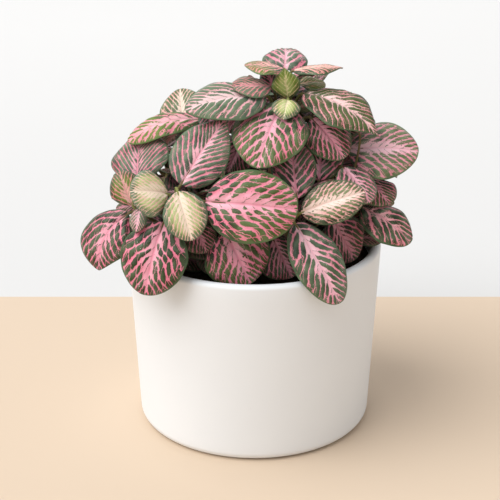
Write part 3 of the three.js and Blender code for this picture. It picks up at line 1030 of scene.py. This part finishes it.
def stems(frame, material):
    """Round, jointed stems; each swells a little where leaves once grew."""
    names = sorted(n for n in frame["nodes"] if n.startswith("stem_"))
    lines = {name: read_stem(frame["nodes"][name]) for name in names}
    ends = np.linspace(0.02, 0.98, STEM_AROUND + 1)
    uv = grid_uv(ends, np.linspace(0.02, 0.98, STEM_STEPS))
    for number, name in enumerate(names):
        path = stem_path(lines[name])
        walked = np.concatenate([[0], np.linalg.norm(np.diff(path, axis=0), axis=1).cumsum()])
        joint = (walked / JOINT_SPACING + number * 0.37) % 1
        swell = 0.22 * np.exp(-(((joint - 0.5) / 0.09) ** 2))
        radii = STEM_RADIUS * (1.02 - 0.28 * walked / walked[-1] + swell)
        rings = tube(path, radii, np.array([0.3, 1.0, 0.1]), STEM_AROUND)
        sheets = Sheets()
        skin_tube(sheets, rings, path, uv, {}, {})
        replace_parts(sheets.build(name + "_skin", material), name)
    return lines


# ---- small leaves along the stems ----

RNG_FILL = 77
FOLIAGE_CELL = 1.3 * MM
PIXELS = 250  # of each coarse picture, a side
FOCAL = 651.5  # in those pixels
FINE = 2  # how many times finer the front picture is
GAP = 9  # pixels of a notch that patches close
FRONT_TRIES = 700
SIDE_TRIES = 450
AROUND = (  # azimuth and rise of each direction, in degrees
    *((45, 25), (90, 15), (135, 25), (180, 15), (225, 15)),
    *((270, 15), (315, 25), (20, 75), (200, 60)),
)
MIDDLE = np.array([0.0, 0.0, 0.135])
AWAY = 0.7
UP = np.array([0.0, 0.0, 1.0])
CORE = np.array([0.0, 0.0, 0.085])
SOIL_GAP = 2 * MM
RIM_ABOVE = 3 * MM
RIM_INSIDE = 8 * MM
LEAF_GAP = 0.5 * MM
PAIR_SPACING = 8.5 * MM
ATTEMPTS = 9
HALF_WIDTH = (0.34, 0.41)  # of a small leaf, as a share of its length
FILL_LOOK = (
    *(("pink", 0.25, 0.6), ("light", 0.1, 0.45), ("pale", 0.0, 0.3)),
    *(("warm", 0.0, 0.25), ("olive", 0.0, 0.4)),
)


def spread(mask, times):
    """The mask, wider by so many pixels all round."""
    for _ in range(times):
        wide = np.pad(mask, 1)
        mask = mask | wide[2:, 1:-1] | wide[:-2, 1:-1] | wide[1:-1, 2:] | wide[1:-1, :-2]
    return mask


def filled(mask, times):
    """The mask with its narrow notches and its holes closed."""
    mask = spread(mask, times)
    outside = np.zeros_like(mask)
    outside[0] = outside[-1] = outside[:, 0] = outside[:, -1] = True
    outside &= ~mask
    while True:
        wider = spread(outside, 1) & ~mask
        if (wider == outside).all():
            break
        outside = wider
    return ~spread(outside, times)


class Picture:
    """A coarse picture of what one direction sees: how far away the nearest leaf is, by pixel."""

    def __init__(self, eye, target, finer=1):
        self.size = PIXELS * finer
        self.focal = FOCAL * finer
        self.eye = np.array(eye)
        forward = unit(np.array(target) - self.eye)
        right = unit(np.cross(forward, UP))
        self.turn = np.stack([right, np.cross(right, forward), forward])
        self.far = np.full((self.size, self.size), np.inf)

    def project(self, points):
        x, y, depth = ((np.atleast_2d(points) - self.eye) @ self.turn.T).T
        column = (self.size / 2 + self.focal * x / depth).astype(int)
        row = (self.size / 2 - self.focal * y / depth).astype(int)
        return row.clip(0, self.size - 1), column.clip(0, self.size - 1), depth

    def mark(self, points):
        row, column, depth = self.project(points)
        np.minimum.at(self.far, (row, column), depth)

    def covered(self):
        return np.isfinite(self.far)

    def ray(self, row, column):
        out = np.array([column + 0.5 - self.size / 2, self.size / 2 - row - 0.5, self.focal])
        return unit(out @ self.turn)


def sprout(rng, root, outward, neck, heading, face, length, arches, half=None):
    """The plan of a small leaf, as read_leaf() gives it for a CAD leaf."""
    if half is None:
        half = length * rng.uniform(*HALF_WIDTH)
    arch = rng.uniform(*arches) * length
    side = unit(np.cross(heading, face))
    normal = np.cross(side, heading)
    tip = neck + heading * length
    bow = (neck + tip) / 2 + normal * 2 * arch + side * rng.uniform(-0.06, 0.06) * length
    reach = 0.3 * np.linalg.norm(neck - root)
    near = neck - unit(bow - neck) * reach
    far = root + outward * reach
    stalk = [root, (root + 3 * far + 3 * near + neck) / 8]
    midrib = np.array([neck, bow, tip])
    point = rng.uniform(0.5, 0.75)
    return {"midrib": midrib, "face": normal, "half": half, "point": point, "stalk": stalk}


def coarse(plan):
    """A few rows of points over a planned blade."""
    t, u = np.meshgrid(np.linspace(0.04, 0.99, 7), np.linspace(-1, 1, 5), indexing="ij")
    place, heading = bezier(plan["midrib"], t)
    side = unit(np.cross(heading, plan["face"]))
    normal = unit(np.cross(side, heading))
    half = plan["half"] * outline(t, plan["point"])
    return place + side * (u * half)[..., None] - normal * (DROP * half * u**2)[..., None]


class Thicket:
    """Everything that a new leaf has to keep clear of."""

    def __init__(self, frame, box, pictures, allowed):
        self.corners = []
        self.faces = []
        for name, node in frame["nodes"].items():
            if name.startswith("leaf_"):
                corners = [v.co[:] for v in node.data.vertices]
                self.add(corners, [p.vertices[:] for p in node.data.polygons])
        self.pictures = pictures
        self.allowed = allowed
        self.front = pictures[0].far.copy()
        low, high = (np.array(c) for c in box)
        self.low, self.high = low + 1 * MM, high - 1 * MM
        self.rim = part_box("pot")[1]
        self.soil_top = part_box("soil")[1].z

    def add(self, corners, faces):
        start = len(self.corners)
        self.corners.extend(corners)
        self.faces.extend([i + start for i in face] for face in faces)
        self.tree = BVHTree.FromPolygons(self.corners, self.faces)

    def in_bounds(self, points):
        """Inside the plant's box, above the soil, and not through the rim."""
        if (points < self.low).any() or (points > self.high).any():
            return False
        if points[:, 2].min() < self.soil_top + SOIL_GAP:
            return False
        low = points[:, 2] < self.rim.z + RIM_ABOVE
        return not (low & (np.hypot(points[:, 0], points[:, 1]) > self.rim.x - RIM_INSIDE)).any()

    def in_view(self, points):
        """Inside the plant's outline from the front."""
        row, column, _ = self.pictures[0].project(points)
        return self.allowed[row, column].all()

    def hides(self, points):
        """Before a CAD leaf that the camera sees, and near it."""
        row, column, depth = self.pictures[0].project(points)
        before = self.front[row, column] - depth
        return ((before > 1 * MM) & (before < 35 * MM)).sum() > 1

    def untouched(self, points, quads):
        if BVHTree.FromPolygons(points.tolist(), quads).overlap(self.tree):
            return False
        gaps = [self.tree.find_nearest(Vector(p))[3] or 1.0 for p in points]
        return min(gaps) >= LEAF_GAP

    def crossed(self, a, b):
        step = Vector(b - a)
        return self.tree.ray_cast(Vector(a), step.normalized(), step.length)[0]

    def clear(self, plan):
        """Whether a planned leaf has room. If it has, it joins the thicket."""
        points = coarse(plan).reshape(-1, 3)
        if not self.in_bounds(points) or not self.in_view(points) or self.hides(points):
            return False
        index = np.arange(35).reshape(7, 5)
        quads = np.stack([index[:-1, :-1], index[1:, :-1], index[1:, 1:], index[:-1, 1:]], -1)
        quads = quads.reshape(-1, 4).tolist()
        if not self.untouched(points, quads):
            return False
        root, middle = plan["stalk"]
        neck = plan["midrib"][0]
        if not self.in_view(np.array([root, middle, neck])):
            return False
        if self.crossed(root, middle) or self.crossed(middle, neck):
            return False
        self.add(points.tolist(), quads)
        fine = Leaf(plan, DEFAULT_LOOK, 1).points(44, 60)
        for picture in self.pictures:
            picture.mark(fine)
        return True


def stem_at(line, height):
    """The place and heading of a stem at a height in metres, by its middle line."""
    at = [height, height + 2 * MM, height - 2 * MM]
    place, ahead, behind = np.stack([np.interp(at, line[:, 2], line[:, k]) for k in range(3)], 1)
    return place, unit(ahead - behind)


def off_stem(place, axis, way):
    """The part of a way that is square to the stem, and where a stalk that goes there starts."""
    out = unit(way - axis * (way @ axis))
    return out, place + out * STEM_RADIUS * 0.9


def pairs(rng, line, thicket):
    """Opposite leaves up one stem, each pair a quarter turn from the one below."""
    plans = []
    low, high = thicket.soil_top + 5 * MM, line[-1, 2] - 0.5 * MM
    azimuth = rng.uniform(0, 2 * math.pi)
    for height in np.arange(high, low, -PAIR_SPACING):
        share = (high - height) / (high - low)
        place, axis = stem_at(line, height)
        azimuth += math.pi / 2 + rng.uniform(-0.3, 0.3)
        for turn in (0, math.pi):
            for attempt in range(ATTEMPTS):
                angle = azimuth + turn + rng.uniform(-0.25, 0.25) * (1 + attempt * 0.4)
                way = np.array([math.cos(angle), math.sin(angle), 0.0])
                out, root = off_stem(place, axis, way)
                size = (0.55 + 0.45 * min(1.0, share * 2.5)) * rng.uniform(0.75, 1.15)
                length = 30 * MM * size * 0.93**attempt
                stalk = rng.uniform(5, 13) * MM * size
                slope = math.radians(rng.uniform(-38, 22) + 18 * (1 - share))
                rising = unit(out + axis * rng.uniform(0.35, 0.9))
                neck = root + rising * stalk
                heading = unit(out * math.cos(slope) + UP * math.sin(slope))
                tilt = np.cross(heading, UP) * rng.uniform(-0.35, 0.35)
                face = unit(UP + tilt + out * 0.2)
                plan = sprout(rng, root, rising, neck, heading, face, length, (0.04, 0.11))
                if thicket.clear(plan):
                    plans.append(plan)
                    break
    return plans


def nearest_stem(rng, lines, thicket, points):
    """The stem, its height and the point that lie nearest each other; what hangs low is put off."""
    best = None
    for name in sorted(lines):
        line = lines[name]
        heights = np.linspace(thicket.soil_top + 4 * MM, line[-1, 2] - 1 * MM, 24)
        nodes = np.stack([np.interp(heights, line[:, 2], line[:, k]) for k in range(3)], 1)
        gap = points[:, None] - nodes[None]
        far = np.linalg.norm(gap, axis=2) + 0.8 * np.clip(-gap[..., 2], 0, None)
        far = far * rng.uniform(0.7, 1.3)
        i, j = np.unravel_index(np.argmin(far), far.shape)
        if best is None or far[i, j] < best[0]:
            best = (far[i, j], name, points[i], heights[j])
    return best[1:]


def patches(rng, lines, thicket, picture, wanted, tries):
    """Leaves that close the gaps which one direction sees into."""
    plans = {}
    for turn in range(tries):
        gaps = np.argwhere(wanted & ~picture.covered())
        if len(gaps) == 0:
            break
        ray = picture.ray(*gaps[rng.integers(len(gaps))])
        steps = np.linspace(AWAY - 0.11, AWAY + 0.13, 60)
        points = picture.eye + ray * steps[:, None]
        name, centre, height = nearest_stem(rng, lines, thicket, points)
        place, axis = stem_at(lines[name], height)
        length = rng.uniform(15, 30) * (1 - 0.55 * turn / tries) * MM
        centre = centre - ray * rng.uniform(-6, 12) * MM
        face = unit(-ray * rng.uniform(0.5, 1.1) + UP * 0.6 + rng.normal(0, 0.2, 3))
        away = centre - place
        away = away + rng.normal(0, 4 * MM, 3)
        heading = unit(away - face * (away @ face))
        neck = centre - heading * length / 2
        out, root = off_stem(place, axis, neck - place)
        rising = unit(out + axis * 0.5)
        half = length * rng.uniform(*HALF_WIDTH)
        if not 4 * MM < np.linalg.norm(neck - root) < 42 * MM:
            continue
        plan = sprout(rng, root, rising, neck, heading, face, length, (0.02, 0.08), half)
        if thicket.clear(plan):
            plans.setdefault(name, []).append(plan)
    return plans


def depth_inside(plans, leaves):
    """How deep inside the plant each planned leaf lies, from 0 near its outside to 1."""
    hull = np.concatenate([leaf.points(5, 7) for leaf in leaves]) - CORE
    reach = np.linalg.norm(hull, axis=1)
    way = hull / reach[:, None]
    depths = []
    for plan in plans:
        own = (plan["midrib"][0] + plan["midrib"][2]) / 2 - CORE
        far = np.linalg.norm(own)
        near = way @ (own / far) > 0.93
        outside = np.percentile(reach[near], 80) if near.any() else far
        depths.append(float(np.clip((outside - far - 4 * MM) / (28 * MM), 0, 1)))
    return depths


def outlook(leaves):
    """What each direction sees of the CAD leaves, and where in front a small leaf may show."""
    pictures = [Picture(CAMERA_PLACE, CAMERA_TARGET, FINE)]
    for azimuth, rise in AROUND:
        a, e = math.radians(azimuth), math.radians(rise)
        back = np.array([math.sin(a) * math.cos(e), -math.cos(a) * math.cos(e), math.sin(e)])
        pictures.append(Picture(MIDDLE + back * AWAY, MIDDLE))
    with_pot = Picture(CAMERA_PLACE, CAMERA_TARGET, FINE)
    for leaf in leaves:
        fine = leaf.points(110, 150)
        for picture in (with_pot, *pictures):
            picture.mark(fine)
    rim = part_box("pot")[1]
    angle, height = np.meshgrid(np.linspace(0, 2 * math.pi, 900), np.linspace(0, rim.z, 200))
    wall = np.stack([rim.x * np.cos(angle), rim.x * np.sin(angle), height], -1)
    with_pot.mark(wall.reshape(-1, 3))
    return pictures, filled(with_pot.covered(), 3 * FINE)


def planned(rng, lines, thicket):
    """The plans of all the small leaves, by stem: pairs, then patches for each direction."""
    plans = {name: pairs(rng, lines[name], thicket) for name in sorted(lines)}
    front = thicket.pictures[0]
    rounds = [(front, GAP * FINE, FRONT_TRIES)]
    rounds += [(picture, GAP, SIDE_TRIES) for picture in thicket.pictures[1:]]
    rounds += [(front, 0, FRONT_TRIES)]
    for picture, closing, tries in rounds:
        wanted = filled(picture.covered(), closing)
        if picture is front:
            wanted &= thicket.allowed
        for name, extra in patches(rng, lines, thicket, picture, wanted, tries).items():
            plans[name].extend(extra)
    return plans


def foliage(frame, box, lines, leaves, material):
    """The many smaller leaves, one piece for each stem. Inner leaves get painted shade, the more the
    deeper they lie.
    """
    rng = np.random.default_rng(RNG_FILL)
    thicket = Thicket(frame, box, *outlook(leaves))
    plans = planned(rng, lines, thicket)
    for number, (name, group) in enumerate(sorted(plans.items())):
        if not group:
            continue
        across = math.ceil(math.sqrt(len(group)))
        sheets = Sheets()
        depths = depth_inside(group, leaves)
        for i, plan in enumerate(group):
            # painted shade, darker for leaves further inside the plant
            look = {**DEFAULT_LOOK, "dim": 0.75 * depths[i]}
            for key, low, high in FILL_LOOK:
                look[key] = rng.uniform(low, high)
            leaf = Leaf(plan, look, 1000 + 50 * number + i)
            grow(sheets, leaf, (i % across, i // across, across), FOLIAGE_CELL)
        sheets.build("foliage_" + name.removeprefix("stem_"), material)


# ---- the stage ----


def plate(name, x0, x1, y0, y1, material):
    mesh = bpy.data.meshes.new(name)
    corners = [(x0, y0, 0), (x1, y0, 0), (x1, y1, 0), (x0, y1, 0)]
    mesh.from_pydata(corners, [], [(0, 1, 2, 3)])
    mesh.materials.append(material)
    piece = bpy.data.objects.new(name, mesh)
    piece.location.z = -0.1 * MM
    bpy.context.scene.collection.objects.link(piece)


def stage():
    table = ground_look("pale_table", (0.63, 0.495, 0.37), (0.67, 0.54, 0.41))
    ground = ground_look("white_ground", (0.63, 0.625, 0.615), (0.65, 0.645, 0.635))
    plate("table", -3, 3, -3, TABLE_BACK, table)
    plate("ground", -6, 6, TABLE_BACK, 8, ground)


def put(data, place, toward):
    """Adds a lamp or a camera at a place, turned to look along toward."""
    piece = bpy.data.objects.new(data.name, data)
    piece.location = place
    piece.rotation_euler = toward.to_track_quat("-Z", "Y").to_euler()
    bpy.context.scene.collection.objects.link(piece)
    return piece


def lights():
    """A white studio, a broad soft key from the upper left in front, and a softbox behind."""
    world = bpy.data.worlds.new("studio")
    world.use_nodes = True
    background = world.node_tree.nodes["Background"]
    background.inputs["Color"].default_value = (0.98, 0.985, 1.0, 1.0)
    background.inputs["Strength"].default_value = 0.55
    bpy.context.scene.world = world
    key = bpy.data.lights.new("key", "SUN")
    key.energy = 2.9
    key.angle = math.radians(60)
    put(key, (0, 0, 0), Vector((0.84, 0.34, -1.3)))
    box = bpy.data.lights.new("softbox", "AREA")
    box.shape = "RECTANGLE"
    box.size = 1.8
    box.size_y = 1.0
    box.energy = 5.0
    place = Vector((-0.2, 1.3, 0.9))
    put(box, place, Vector((0.0, 0.0, 0.13)) - place)


def camera():
    data = bpy.data.cameras.new("camera")
    data.lens = CAMERA_LENS
    data.sensor_width = SENSOR
    data.clip_start = 0.01
    piece = put(data, CAMERA_PLACE, Vector(CAMERA_TARGET) - Vector(CAMERA_PLACE))
    bpy.context.scene.camera = piece


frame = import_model()
bpy.context.view_layer.update()
cad_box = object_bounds()
camera()
lights()
stage()
bpy.context.scene.view_settings.view_transform = "Standard"
leaf_material = leaf_look()
pot(ceramic_look())
soil(soil_look())
stem_lines = stems(frame, stem_look())
leaves = cad_leaves(frame, leaf_material)
foliage(frame, cad_box, stem_lines, leaves, leaf_material)
bpy.context.view_layer.update()
